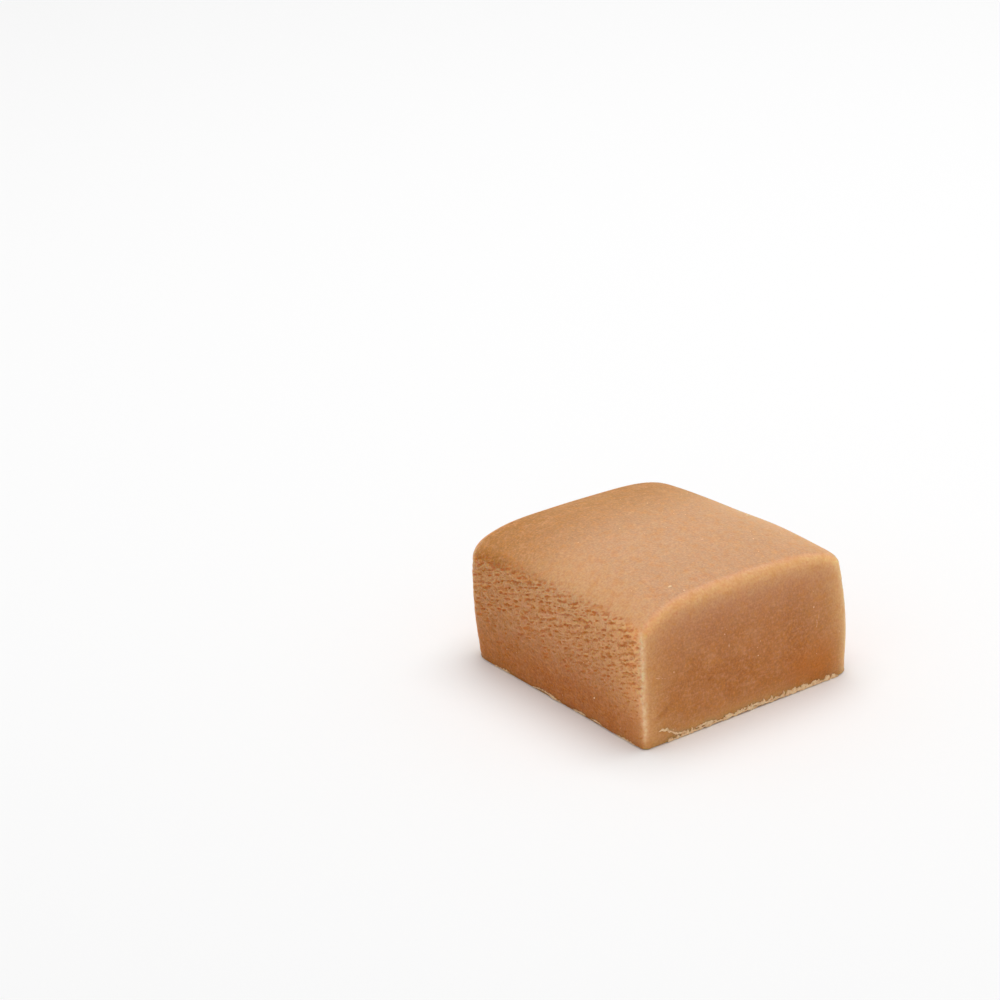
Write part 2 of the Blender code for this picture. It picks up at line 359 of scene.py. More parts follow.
def torn_side(s, z, seed):
    """Depth in mm, share of hole, paleness of crumbs and reach of the tearing."""
    plane = on_plane(s, z)
    wander = layered_noise(plane / 3.2 + 5.1, seed + 9)
    upper = smooth_step(2.6, 7.0, z + 0.8 * wander) * (1.0 - smooth_step(11.8, 12.4, z - 0.03 * s))
    rim = np.exp(-(((z - 0.03 * s - 0.15 * wander - 11.3) / 0.5) ** 2))
    holes = pits(s, z, PITS, upper, seed)
    holes = np.maximum(holes, pits(s, z, RIM_PITS, rim, seed + 17))
    holes = np.maximum(holes, 0.6 * pits(s, z, SMALL_PITS, 0.30 + 0.70 * upper, seed + 7))
    for number, place in enumerate(EDGE_GROOVES + LONG_GROOVES):
        holes = np.maximum(holes, groove(s, z, *place, number + seed))
    clear = smooth_step(-13.5, -11.6, s)
    holes = holes * clear
    crumbs = noise(plane / np.array([0.50, 0.34, 1.0]) + 19.0, seed + 5)
    lumps = 0.06 * noise(plane / np.array([1.4, 0.8, 1.0]) + 9.0, seed + 2)
    lumps += 0.055 * crumbs + 0.03 * noise(plane / np.array([0.30, 0.24, 1.0]) + 29.0, seed + 6)
    depth = lumps * (0.40 + 0.60 * upper) * (0.3 + 0.7 * clear) + PIT_DEPTH * holes
    return depth, holes, smooth_step(0.1, 0.8, -crumbs) * upper, upper


def tear(side, s, z, seed):
    """torn_side for the points of one side only, nothing elsewhere."""
    mine = side > 0.0
    parts = torn_side(s[mine], z[mine], seed)
    full = [np.zeros(len(s)) for _ in parts]
    for whole, part in zip(full, parts):
        whole[mine] = part * side[mine]
    return full


near_parts = tear(near_side, x, z, SEED + 1)
far_parts = tear(far_side, -x, z, SEED + 2)
cut, holes, crests, upper = (near + far for near, far in zip(near_parts, far_parts))
print("share of the near side that is hole:", round(float(holes[near_side > 0.9].mean()), 3))

# %% [markdown]
# ## Swells and dents
#
# The whole piece is a little uneven, as soft things are, and the clean end has a
# small dent and two pinholes. The foot line wanders in and out under every side
# but the right end, where the dry burr makes it ragged instead.

# %% Marks on the clean end
SWELL_SIZE, SWELL_DEPTH = 6.5, 0.11
DENTS = (
    {"y": -10.4, "z": 3.3, "width": 1.2, "height": 0.5, "depth": 0.20},
    {"y": -4.9, "z": 4.9, "width": 0.32, "height": 0.20, "depth": 0.20},
    {"y": -7.2, "z": 6.5, "width": 0.25, "height": 0.12, "depth": 0.12},
)
DENT_LEAN = 0.55
FOOT_SETBACK, FOOT_WAVE, FOOT_WAVE_SIZE = 0.08, 0.10, 1.6
FOOT_PER_RADIAN = 13.0


def hollow(s, z, at, size, lean=0.0):
    """0 to 1 inside an oval dimple."""
    ds = (s - at[0]) / size[0]
    dz = (z - at[1] - lean * (s - at[0])) / size[1]
    return np.clip(1.0 - ds * ds - dz * dz, 0.0, 1.0) ** 1.4


swell = SWELL_DEPTH * noise(points / SWELL_SIZE + 11.3, SEED) * clear_of_foot
dent = sum(
    mark["depth"] * hollow(y, z, (mark["y"], mark["z"]), (mark["width"], mark["height"]), DENT_LEAN)
    for mark in DENTS
)
move = swell - clear_of_foot * cut - right_end * dent
print("deepest cut and highest swell:", round(float(move.min()), 2), round(float(move.max()), 2), "mm")

# %% Wave the foot line
around = np.arctan2(y / WIDTH, x / LENGTH) * FOOT_PER_RADIAN
along_foot = np.stack([around, np.zeros(len(x)), np.zeros(len(x))], 1)
wavy_sides = near_side + far_side + left_end
foot_wave = FOOT_WAVE * layered_noise(along_foot / FOOT_WAVE_SIZE, SEED + 6, 3) * wavy_sides
near_foot = (1.0 - smooth_step(0.1, 0.7, z)) * (z > 1e-6)
move -= (FOOT_SETBACK + foot_wave) * wavy_sides * near_foot
points = points + normals * move[:, None]
points[:, 2] = np.maximum(points[:, 2], 0.0)
middle = (points.max(0) + points.min(0)) / 2.0
print("after relief:", (points.max(0) - points.min(0)).round(2), "centre", middle.round(3))

# %% [markdown]
# ## Making the mesh
#
# The points become one closed mesh in metres. A helper keeps a number for each
# point on the mesh as a named attribute, for the material to read, and another
# thins the mesh out where it is plain, so the detail goes where the crumb is.

# %% Helpers for the mesh
MESH_BUDGET = 195000


def make_mesh(name, points, quads):
    """A smooth-shaded object from points in mm and a table of quads."""
    mesh = bpy.data.meshes.new(name)
    mesh.from_pydata((points * MM).tolist(), [], quads.tolist())
    mesh.shade_smooth()
    mesh.validate()
    piece = bpy.data.objects.new(name, mesh)
    bpy.context.scene.collection.objects.link(piece)
    return piece


def store(piece, name, values):
    """Keeps one number per point on the mesh for the material to read."""
    layer = piece.data.attributes.new(name, "FLOAT", "POINT")
    layer.data.foreach_set("value", np.ascontiguousarray(values, np.float32))


def thin_out(piece, triangles):
    """Merges triangles where the surface is plain and keeps them in the crumb."""
    full = 2 * len(piece.data.polygons)
    decimate = piece.modifiers.new("keep the crumb", "DECIMATE")
    decimate.ratio = triangles / full
    graph = bpy.context.evaluated_depsgraph_get()
    light = bpy.data.meshes.new_from_object(piece.evaluated_get(graph))
    piece.modifiers.clear()
    piece.data = light


shift = np.array([middle[0], middle[1], 0.0])
fudge = make_mesh("fudge_surface", points - shift, quads)
print("full mesh:", len(fudge.data.polygons), "quads")

# %% [markdown]
# ## Where each colour goes
#
# Fudge is not one colour, and some of what is painted here is light and shade. The
# thin edges are painted with the amber glow of light passing through them, the
# upper ends and the near side by the crisp corner are painted lighter, a band under
# the rim of the torn sides is painted pale, and the left of the piece is painted
# with shade. The crisp corner has a pale line, and the torn sides turn darker and
# more orange towards the foot. Each of these is a mask from 0 to 1 that falls away
# from an edge. Painting the masks by hand would work as well, but gaps measured on
# the plain block before it was rounded follow its edges exactly.

# %% Gaps to the edges, and how a mask fades
def fade(gap, width, power=1.0):
    """1 at an edge, falling away over a width; a higher power holds on longer."""
    return np.exp(-((gap / width) ** power))


top_gap = HEIGHT / 2 - flat[:, 2]
foot_gap = HEIGHT / 2 + flat[:, 2]
near_gap, far_gap = WIDTH / 2 + flat[:, 1], WIDTH / 2 - flat[:, 1]
right_gap = LENGTH / 2 - flat[:, 0]
on_ends = smooth_step(0.2, 0.6, np.abs(normals[:, 0]))
torn_sides = near_side + far_side
facing_end = np.abs(normals[:, 0])
print("points on the two ends:", int((on_ends > 0.5).sum()))

# %% Painted glow and light at the edges, and a pale line on the crisp corner
CRISP_WIDTH, RIM_WIDTH, NEAR_WIDTH, FAR_WIDTH, SIDE_WIDTH = 0.44, 1.15, 1.4, 1.85, 3.6
LEFT_RIM_SHARE, LEFT_EDGE_SHARE = 0.6, 0.35
LINE_ANGLE, LINE_SPREAD = 50.0, 13.0
crisp_edge = fade(np.maximum(right_gap, near_gap), CRISP_WIDTH, 2)
crisp_edge *= smooth_step(0.3, 1.5, z) * (1.0 - smooth_step(10.0, 12.5, z))
# Painted glow: the rounded rim at the top of each end is painted amber, for light passing through the
# thin rim. It is weaker at the left end, with a little near the crisp corner too.
ragged = 0.30 * noise(points / 0.9, SEED + 30) + 0.20 * noise(points / 0.35, SEED + 31)
rim_glow = fade(np.maximum(top_gap + ragged, 0.0), RIM_WIDTH, 1.8)
rim_glow = rim_glow * np.where(x > 0.0, 1.0, LEFT_RIM_SHARE) + 0.3 * fade(near_gap, NEAR_WIDTH, 1.5)
# Painted glow: the far upright edge of each end is painted amber, for light passing through it. It is
# weaker at the left end.
far_edge_glow = fade(far_gap, FAR_WIDTH, 1.6) * smooth_step(0.3, 0.8, facing_end)
far_edge_glow *= np.where(x > 0.0, 1.0, LEFT_EDGE_SHARE) * smooth_step(-3.0, 1.5, z)
# Painted light: the near torn side is painted lighter over its last few millimetres towards the crisp
# corner.
side_light_by_corner = fade(right_gap, SIDE_WIDTH, 1.4) * near_side * smooth_step(-8.0, 12.0, z)
# Painted glow: a pale band down the far rounded corner, where the side has turned about 50 degrees,
# for light passing through the edge. The same pale tone also draws the line on the crisp corner.
corner_turn = np.degrees(np.arctan2(normals[:, 1], normals[:, 0]))
far_corner_glow = fade(corner_turn - LINE_ANGLE, LINE_SPREAD, 2)
far_corner_glow *= smooth_step(0.3, 1.0, z) * (1.0 - smooth_step(8.0, 10.5, z))
print("share of points that glow:", round(float((rim_glow > 0.5).mean()), 3))

# %% Painted light and shade, and deeper colour low down
RIM_BLEED_REACH = 2.8
LIP_LIGHT_HEIGHT, LIP_LIGHT_SPREAD = 10.9, 0.8
EMBER_PLACE, EMBER_SPREAD = (7.6, 2.2), (3.4, 2.2)
# Painted light: the upper part of each end is painted paler, for light that comes in through the top
# and spreads down inside the sugar.
rim_bleed_light = fade(top_gap, RIM_BLEED_REACH)
# Painted glow: the ends are painted golden near their upright edges and much more at the foot, for
# light passing through the thin edges. It is less at the foot towards the far side.
edge_glow_light = 0.8 * fade(far_gap, 3.0) * smooth_step(1.0, 8.0, z) + 1.05 * fade(near_gap, 2.2)
edge_glow_light += 2.4 * fade(foot_gap, 0.9) * (1.0 - 0.9 * smooth_step(2.0, 9.0, flat[:, 1]))
deep = torn_sides * (1.0 - smooth_step(1.0, 9.5, z))
ember = 0.7 * on_ends * fade(flat[:, 1] - EMBER_PLACE[0], EMBER_SPREAD[0], 2)
ember *= fade(z - EMBER_PLACE[1], EMBER_SPREAD[1], 2) * smooth_step(0.8, 3.0, far_gap)
ember += 0.34 * torn_sides * (1.0 - smooth_step(1.5, 5.5, z))
# Painted light: a band just under the top rim of the torn sides is painted pale, to lighten the row of
# pits that the rim shades.
lip_band_light = fade(z - LIP_LIGHT_HEIGHT, LIP_LIGHT_SPREAD, 2) * torn_sides
# Painted shade: the top, and half as much the near side, are painted darker and more orange towards
# the left, for shade falling on that side.
shade_to_left = smooth_step(-2.5, 12.0, -x)
print("deepest ember:", round(float(ember.max()), 2))

# %% [markdown]
# ## The finished block
#
# The masks go on the mesh before it is thinned, so that they thin with it. The
# mesh then rides on the solid's body and stands in for its plain node.

# %% Store the masks and hand the mesh to the solid's body
MASKS = {
    "holes": holes,
    "crests": crests,
    "torn": torn_sides,
    "skin": top_skin,
    "rolled": rolled,
    "deep": deep,
    "shade_to_left": shade_to_left * (top_skin + 0.5 * near_side),
    "rim_bleed_light": rim_bleed_light * on_ends,
    "edge_glow_light": np.clip(edge_glow_light, 0.0, 1.0) * on_ends,
    "glow": np.clip(rim_glow, 0.0, 1.0) * smooth_step(0.32, 0.75, facing_end),
    "far_edge_glow": far_edge_glow,
    "far_corner_glow": far_corner_glow,
    "ember": ember,
    "lip_band_light": lip_band_light,
    "edge": crisp_edge,
    "side_light_by_corner": side_light_by_corner,
    "tear": 0.4 * torn_sides + 0.6 * upper,
}
for name, values in MASKS.items():
    store(fudge, name, values)
thin_out(fudge, MESH_BUDGET)
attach(fudge, "root")
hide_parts("fudge_piece")
print("mesh:", len(fudge.data.polygons), "triangles")

# %% [markdown]
# ## Fine grain and torn crumb
#
# Fudge is a mass of tiny sugar crystals. They are far too small for the mesh, so
# two shader node groups make them. The grain group gives a speckle to tint with
# and a height for a bump, and its Scale input sets the size of the crystals. The
# crumb group gives the tiny leaning pits that the chopping left between crumbs.

# %% Node group for the grain
def add(tree, kind, **settings):
    """A new node with its properties set."""
    node = tree.nodes.new(kind)
    for key, value in settings.items():
        setattr(node, key, value)
    return node


def grain_group():
    """Group with a Scale input, and Speckle and Height outputs from 0 to 1."""
    tree = bpy.data.node_groups.new("sugar grain", "ShaderNodeTree")
    size = tree.interface.new_socket("Scale", in_out="INPUT", socket_type="NodeSocketFloat")
    size.default_value = 6000.0
    tree.interface.new_socket("Speckle", in_out="OUTPUT", socket_type="NodeSocketFloat")
    tree.interface.new_socket("Height", in_out="OUTPUT", socket_type="NodeSocketFloat")
    inlet = add(tree, "NodeGroupInput")
    outlet = add(tree, "NodeGroupOutput")
    where = add(tree, "ShaderNodeTexCoord")
    cells = add(tree, "ShaderNodeTexVoronoi", feature="F1")
    cloud = add(tree, "ShaderNodeTexNoise")
    cloud.inputs["Detail"].default_value = 4.0
    for node in (cells, cloud):
        tree.links.new(where.outputs["Object"], node.inputs["Vector"])
        tree.links.new(inlet.outputs["Scale"], node.inputs["Scale"])
    blend = add(tree, "ShaderNodeMix", data_type="FLOAT")
    blend.inputs["Factor"].default_value = 0.5
    tree.links.new(cells.outputs["Distance"], blend.inputs["A"])
    tree.links.new(cloud.outputs["Fac"], blend.inputs["B"])
    tree.links.new(cloud.outputs["Fac"], outlet.inputs["Speckle"])
    tree.links.new(blend.outputs["Result"], outlet.inputs["Height"])
    return tree


GRAIN = grain_group()
print("grain outputs:", [s.name for s in GRAIN.interface.items_tree if s.in_out == "OUTPUT"])

# %% Node group for the crumb
CRUMB_CELL = (0.00044, 0.00044, 0.00030)
CRUMB_BEND = 0.7
PIT_EDGE, PIT_FLOOR = 0.46, 0.14


def crumb_group():
    """Group of tiny pits between sugar crumbs: Pits and Height, both from 0 to 1."""
    tree = bpy.data.node_groups.new("torn crumb", "ShaderNodeTree")
    tree.interface.new_socket("Pits", in_out="OUTPUT", socket_type="NodeSocketFloat")
    tree.interface.new_socket("Height", in_out="OUTPUT", socket_type="NodeSocketFloat")
    outlet = add(tree, "NodeGroupOutput")
    where = add(tree, "ShaderNodeTexCoord")
    turn = add(tree, "ShaderNodeMapping", vector_type="TEXTURE")
    turn.inputs["Rotation"].default_value = (0.0, -math.atan(LEAN), 0.0)
    turn.inputs["Scale"].default_value = CRUMB_CELL
    wobble = add(tree, "ShaderNodeTexNoise")
    wobble.inputs["Scale"].default_value = 2.2
    bend = add(tree, "ShaderNodeVectorMath", operation="MULTIPLY_ADD")
    bend.inputs[1].default_value = (CRUMB_BEND, CRUMB_BEND, CRUMB_BEND)
    cells = add(tree, "ShaderNodeTexVoronoi", feature="F1")
    cells.inputs["Scale"].default_value = 1.0
    pit = add(tree, "ShaderNodeMapRange", interpolation_type="SMOOTHSTEP")
    pit.inputs["From Min"].default_value = PIT_EDGE
    pit.inputs["From Max"].default_value = PIT_FLOOR
    some = add(tree, "ShaderNodeMapRange")
    some.inputs["From Min"].default_value = 0.38
    some.inputs["From Max"].default_value = 0.52
    both = add(tree, "ShaderNodeMath", operation="MULTIPLY")
    height = add(tree, "ShaderNodeMath", operation="SUBTRACT")
    tree.links.new(where.outputs["Object"], turn.inputs["Vector"])
    tree.links.new(turn.outputs["Vector"], wobble.inputs["Vector"])
    tree.links.new(wobble.outputs["Color"], bend.inputs[0])
    tree.links.new(turn.outputs["Vector"], bend.inputs[2])
    tree.links.new(bend.outputs["Vector"], cells.inputs["Vector"])
    tree.links.new(cells.outputs["Distance"], pit.inputs["Value"])
    tree.links.new(cells.outputs["Color"], some.inputs["Value"])
    tree.links.new(pit.outputs["Result"], both.inputs[0])
    tree.links.new(some.outputs["Result"], both.inputs[1])
    tree.links.new(wobble.outputs["Fac"], height.inputs[0])
    tree.links.new(both.outputs["Value"], height.inputs[1])
    tree.links.new(both.outputs["Value"], outlet.inputs["Pits"])
    tree.links.new(height.outputs["Value"], outlet.inputs["Height"])
    return tree


CRUMBS = crumb_group()
print("crumb outputs:", [s.name for s in CRUMBS.interface.items_tree if s.in_out == "OUTPUT"])

# %% [markdown]
# ## The fudge's material
#
# The skin on top is dry and pinkish and the sliced ends are smooth caramel. The
# torn crumb is paler than the holes in it, which are painted a darker orange as
# painted shade, and the thin edges are painted amber as painted glow from light
# passing through them. Each is a colour laid over the last by its mask.
# Subsurface scattering adds the soft look of sugar and milk fat.

# %% Colours
def srgb(r, g, b):
    """A colour given as 0 to 255 screen values, as linear light."""
    line = [v / 255.0 for v in (r, g, b)]
    line = [v / 12.92 if v <= 0.04045 else ((v + 0.055) / 1.055) ** 2.4 for v in line]
    return (*line, 1.0)


SLICED = srgb(188, 113, 39)
SLICED_DEEP = srgb(178, 103, 30)
SKIN = srgb(205, 158, 119)
ROLLED = srgb(226, 174, 122)
CRUMB = srgb(230, 167, 113)
CREST = srgb(238, 192, 160)
PIT_SHADE = srgb(218, 130, 48)
DEEP = srgb(166, 84, 2)
PAINTED_SHADE_TONE = srgb(168, 106, 20)
EMBER = srgb(200, 114, 16)
RIM_BLEED_TONE = srgb(236, 182, 146)
EDGE_GLOW_TONE = srgb(240, 182, 116)
RIM_GLOW_TONE = srgb(233, 186, 116)
AMBER_GLOW = srgb(250, 210, 146)
PAINTED_SIDE_LIGHT = srgb(255, 188, 124)
PALE_LINE_TONE = srgb(250, 220, 176)
PALE = srgb(226, 168, 120)
DRY_SUGAR = srgb(255, 217, 170)
HONEY = srgb(214, 138, 52)
print("sliced fudge in linear light:", [round(v, 3) for v in SLICED[:3]])


# %% Helpers for laying colours
def attribute(tree, name):
    """Reads one of the stored masks."""
    node = add(tree, "ShaderNodeAttribute", attribute_name=name)
    return node.outputs["Fac"]


def lay_over(tree, below, colour, mask, strength=1.0):
    """Lays a colour over another where a mask says, and returns the result."""
    scale = add(tree, "ShaderNodeMath", operation="MULTIPLY", use_clamp=True)
    tree.links.new(mask, scale.inputs[0])
    scale.inputs[1].default_value = strength
    mix = add(tree, "ShaderNodeMix", data_type="RGBA")
    tree.links.new(scale.outputs[0], mix.inputs["Factor"])
    tree.links.new(below, mix.inputs["A"])
    mix.inputs["B"].default_value = colour
    return mix.outputs["Result"]


def noise_mask(tree, where, scale, low, high):
    """Cloudy noise as a mask: 0 below one level and 1 above another."""
    cloud = add(tree, "ShaderNodeTexNoise")
    cloud.inputs["Scale"].default_value = scale
    cloud.inputs["Detail"].default_value = 3.0
    tree.links.new(where, cloud.inputs["Vector"])
    ramp = add(tree, "ShaderNodeMapRange")
    ramp.inputs["From Min"].default_value = low
    ramp.inputs["From Max"].default_value = high
    tree.links.new(cloud.outputs["Fac"], ramp.inputs["Value"])
    return ramp.outputs["Result"]


def mottle(tree, colour, where, spots):
    """Lays cloudy spots of several tones and sizes over a colour."""
    for tone, scale, low, high, strength in spots:
        cloud = noise_mask(tree, where, scale, low, high)
        colour = lay_over(tree, colour, tone, cloud, strength)
    return colour


def product(tree, first, second):
    """One mask times another."""
    times = add(tree, "ShaderNodeMath", operation="MULTIPLY")
    tree.links.new(first, times.inputs[0])
    tree.links.new(second, times.inputs[1])
    return times.outputs["Value"]


def bump(tree, height, strength, distance):
    """A bump node fed by a height; the distance is in metres."""
    node = add(tree, "ShaderNodeBump")
    node.inputs["Strength"].default_value = strength
    node.inputs["Distance"].default_value = distance
    tree.links.new(height, node.inputs["Height"])
    return node


print("helpers ready: attribute, lay_over, noise_mask, mottle, product, bump")

# %% Layers of colour: mask, tone and strength, from the bottom up
LAYERS = (
    ("torn", CRUMB, 0.9),
    ("crests", CREST, 0.28),
    ("deep", DEEP, 0.95),
    ("lip_band_light", ROLLED, 0.70),
    ("skin", SKIN, 1.0),
    ("rolled", ROLLED, 0.6),
    ("shade_to_left", PAINTED_SHADE_TONE, 0.8),
    ("rim_bleed_light", RIM_BLEED_TONE, 0.86),
    ("edge_glow_light", EDGE_GLOW_TONE, 0.52),
    ("glow", RIM_GLOW_TONE, 0.68),
    ("far_edge_glow", AMBER_GLOW, 0.84),
    ("side_light_by_corner", PAINTED_SIDE_LIGHT, 1.0),
    # Painted shade: the pits are painted a darker orange, for the shade inside them.
    ("holes", PIT_SHADE, 0.80),
    ("far_corner_glow", PALE_LINE_TONE, 0.7),
    ("edge", PALE_LINE_TONE, 1.0),
)


# Spots and streaks in the sugar: tone, size, low and high level, and strength.
COARSE_SPOTS = ((PALE, 480.0, 0.45, 0.72, 0.18), (HONEY, 1300.0, 0.48, 0.72, 0.36))
STREAKS, STREAK_STRETCH = ((PALE, 3000.0, 0.54, 0.70, 0.28),), (0.4, 0.25, 1.0)
FINE_SPOTS = ((HONEY, 4200.0, 0.48, 0.70, 0.26), (PALE, 3400.0, 0.50, 0.70, 0.34))
CREASE_SHADE_STRENGTH = 0.45
print("layers:", len(LAYERS), "from", LAYERS[0][0], "to", LAYERS[-1][0])


# %% The main material
GRAIN_SCALE, GRAIN_TINT = 5200.0, 0.42
GRAIN_BUMP, CRUMB_BUMP = (0.55, 0.00006), (1.0, 0.00013)


def fudge_colour(tree, where, crumb):
    """The sliced base, the masked layers, painted shade in the creases, and the mottling."""
    start = add(tree, "ShaderNodeMix", data_type="RGBA")
    start.inputs["A"].default_value = SLICED_DEEP
    start.inputs["B"].default_value = SLICED
    tree.links.new(noise_mask(tree, where, 300.0, 0.35, 0.65), start.inputs["Factor"])
    colour = start.outputs["Result"]
    for name, tone, strength in LAYERS:
        colour = lay_over(tree, colour, tone, attribute(tree, name), strength)
    # Painted shade in the tiny pits of the crumb as well.
    crease_shade = product(tree, crumb.outputs["Pits"], attribute(tree, "tear"))
    colour = lay_over(tree, colour, PIT_SHADE, crease_shade, CREASE_SHADE_STRENGTH)
    colour = mottle(tree, colour, where, COARSE_SPOTS)
    stretch = add(tree, "ShaderNodeMapping")
    stretch.inputs["Scale"].default_value = STREAK_STRETCH
    tree.links.new(where, stretch.inputs["Vector"])
    colour = mottle(tree, colour, stretch.outputs["Vector"], STREAKS)
    colour = mottle(tree, colour, where, FINE_SPOTS)
    return lay_over(tree, colour, EMBER, attribute(tree, "ember"), 1.0)


def fudge_material():
    """Principled sugar with layered colour, fine grain and a soft inside."""
    material = bpy.data.materials.new("vanilla fudge")
    material.use_nodes = True
    tree = material.node_tree
    shader = tree.nodes["Principled BSDF"]
    where = add(tree, "ShaderNodeTexCoord").outputs["Object"]
    crumb = add(tree, "ShaderNodeGroup", node_tree=CRUMBS)
    grain = add(tree, "ShaderNodeGroup", node_tree=GRAIN)
    grain.inputs["Scale"].default_value = GRAIN_SCALE
    tint = add(tree, "ShaderNodeMix", data_type="RGBA", blend_type="OVERLAY")
    tint.inputs["Factor"].default_value = GRAIN_TINT
    tree.links.new(fudge_colour(tree, where, crumb), tint.inputs["A"])
    tree.links.new(grain.outputs["Speckle"], tint.inputs["B"])
    tree.links.new(tint.outputs["Result"], shader.inputs["Base Color"])
    crumb_height = product(tree, crumb.outputs["Height"], attribute(tree, "tear"))
    coarse = bump(tree, crumb_height, *CRUMB_BUMP)
    fine = bump(tree, grain.outputs["Height"], *GRAIN_BUMP)
    tree.links.new(coarse.outputs["Normal"], fine.inputs["Normal"])
    tree.links.new(fine.outputs["Normal"], shader.inputs["Normal"])
    shader.inputs["Roughness"].default_value = 0.62
    shader.inputs["Specular IOR Level"].default_value = 0.35
    shader.inputs["Subsurface Weight"].default_value = 1.0
    shader.inputs["Subsurface Radius"].default_value = (1.0, 0.52, 0.28)
    shader.inputs["Subsurface Scale"].default_value = 0.0012
    return material


fudge.data.materials.append(fudge_material())
print("material:", fudge.data.materials[0].name)

# %% [markdown]
# ## The burr at the foot
#
# Where the slab sat on its tray, a thin burr of dry sugar was left along the
# clean end. It starts as a lifted flake near the crisp corner, drops to the foot
# and follows it raggedly; under the torn side only scraps of it are left, and a
# few hair-thin scratches mark the end. Each run is a thin ribbon laid on the
# surface, which rays cast at the block find. A painted line would look flat.

# %% Where the burr runs: face, path, width and thickness
LIFTED_FLAKE = ((-11.0, 1.50), (-10.6, 1.56), (-10.3, 1.34), (-10.0, 1.38), (-9.8, 1.08), (-9.4, 1.02))
FOOT_RUN = ((-9.9, 0.12), (-6.0, 0.22), (-3.0, 0.20), (1.0, 0.24), (5.0, 0.18), (10.8, 0.08))
BURR_PATHS = (
    ("end", LIFTED_FLAKE, 0.17, 0.09),
    ("end", ((-9.8, 1.20), (-9.3, 0.90), (-9.0, 0.62), (-8.4, 0.52), (-7.6, 0.36)), 0.22, 0.10),
    ("end", FOOT_RUN, 0.42, 0.13),
    ("end", ((-6.6, 0.42), (-5.4, 0.46), (-4.2, 0.36)), 0.16, 0.08),
    ("end", ((-1.4, 0.36), (0.2, 0.44), (1.4, 0.32)), 0.15, 0.08),
    ("side", ((-9.8, 0.08), (-7.4, 0.14)), 0.14, 0.06),
    ("side", ((-3.6, 0.12), (-1.2, 0.22), (1.0, 0.12)), 0.16, 0.08),
    ("side", ((2.8, 0.08), (4.8, 0.14)), 0.14, 0.06),
    ("side", ((5.6, 0.16), (6.8, 0.26), (7.4, 0.12)), 0.11, 0.06),
    ("side", ((9.4, 0.10), (12.4, 0.10)), 0.12, 0.05),
    ("end", ((8.00, 6.0), (8.10, 6.4), (8.06, 6.8)), 0.06, 0.02),
    ("end", ((8.30, 6.6), (8.35, 7.2)), 0.05, 0.02),
    ("end", ((-2.50, 7.3), (-2.45, 7.7)), 0.08, 0.03),
    ("end", ((-11.1, 6.95), (-10.8, 6.78), (-10.6, 6.80)), 0.05, 0.02),
    ("end", ((-10.2, 6.60), (-9.9, 6.52)), 0.06, 0.02),
)
print("runs of dry sugar and scratches:", len(BURR_PATHS))

# %% Finding places on the block
RAY_START = 0.03
LOWEST_PLACE = 0.02
tree_of_faces = BVHTree.FromPolygons(
    [v.co[:] for v in fudge.data.vertices], [f.vertices[:] for f in fudge.data.polygons]
)


def on_surface(face, along, across):
    """The point of the end, near side or top that lies at this place, in metres."""
    height = max(across, LOWEST_PLACE)
    if face == "end":
        start, way = Vector((RAY_START, along * MM, height * MM)), Vector((-1.0, 0.0, 0.0))
    elif face == "side":
        start, way = Vector((along * MM, -RAY_START, height * MM)), Vector((0.0, 1.0, 0.0))
    else:
        start, way = Vector((along * MM, across * MM, RAY_START)), Vector((0.0, 0.0, -1.0))
    hit, normal, _, _ = tree_of_faces.ray_cast(start, way)
    return hit, normal


print("top of the block at its middle:", round(on_surface("top", 0.0, 0.0)[0].z / MM, 2), "mm")

# %% Ribbons of dry sugar
RIBBON_STEP = 0.05
RIBBON_END = 0.5
# The ribbon's section: place across it and how far it lifts off the block.
RIBBON_SECTION = ((-1.0, -0.3), (-0.8, 0.8), (0.0, 1.0), (0.75, 0.8), (1.0, -0.3))


def ribbon(face, path, width, thickness, seed):
    """Points and quads of a thin ragged ribbon along a path on one face."""
    spots = []
    for (s0, z0), (s1, z1) in zip(path[:-1], path[1:]):
        steps = max(2, int(math.hypot(s1 - s0, z1 - z0) / RIBBON_STEP))
        spots += [(s0 + (s1 - s0) * k / steps, z0 + (z1 - z0) * k / steps) for k in range(steps)]
    spots = np.array(spots + [path[-1]])
    run = np.gradient(spots, axis=0)
    run /= np.linalg.norm(run, axis=1)[:, None]
    at = np.zeros((len(spots), 3))
    at[:, 0] = np.arange(len(spots)) * RIBBON_STEP
    upper = 0.55 + 0.70 * layered_noise(at / 0.24, seed, 3)
    lower = 0.6 + 0.40 * layered_noise(at / 0.40, seed + 5, 3)
    ends = np.clip(np.minimum(at[:, 0], at[-1, 0] - at[:, 0]) / RIBBON_END, 0.0, 1.0) ** 0.6
    sides = len(RIBBON_SECTION)
    points, quads = [], []
    for k, (s, z) in enumerate(spots):
        up = max(upper[k], 0.04) * width * ends[k]
        down = max(lower[k], 0.10) * width * ends[k] * 0.6
        for share, lift in RIBBON_SECTION:
            reach = share * (up if share > 0 else down)
            place, normal = on_surface(face, s - run[k, 1] * reach, z + run[k, 0] * reach)
            spot = place + normal * (lift * thickness * MM * (0.6 + 0.6 * upper[k]))
            spot.z = max(spot.z, 0.0)
            points.append(spot)
        if k:
            a = sides * k
            for j in range(sides):
                n = (j + 1) % sides
                quads.append((a + j, a + n, a - sides + n, a - sides + j))
    last = len(points) - sides
    quads += [tuple(reversed(range(sides))), tuple(range(last, last + sides))]
    return points, quads


def join_parts(name, parts):
    """One object from several sets of points in metres and faces."""
    points, faces = [], []
    for more_points, more_faces in parts:
        faces += [tuple(i + len(points) for i in face) for face in more_faces]
        points += [tuple(p) for p in more_points]
    mesh = bpy.data.meshes.new(name)
    mesh.from_pydata(points, [], faces)
    mesh.validate()
    piece = bpy.data.objects.new(name, mesh)
    bpy.context.scene.collection.objects.link(piece)
    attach(piece, "root")
    return piece


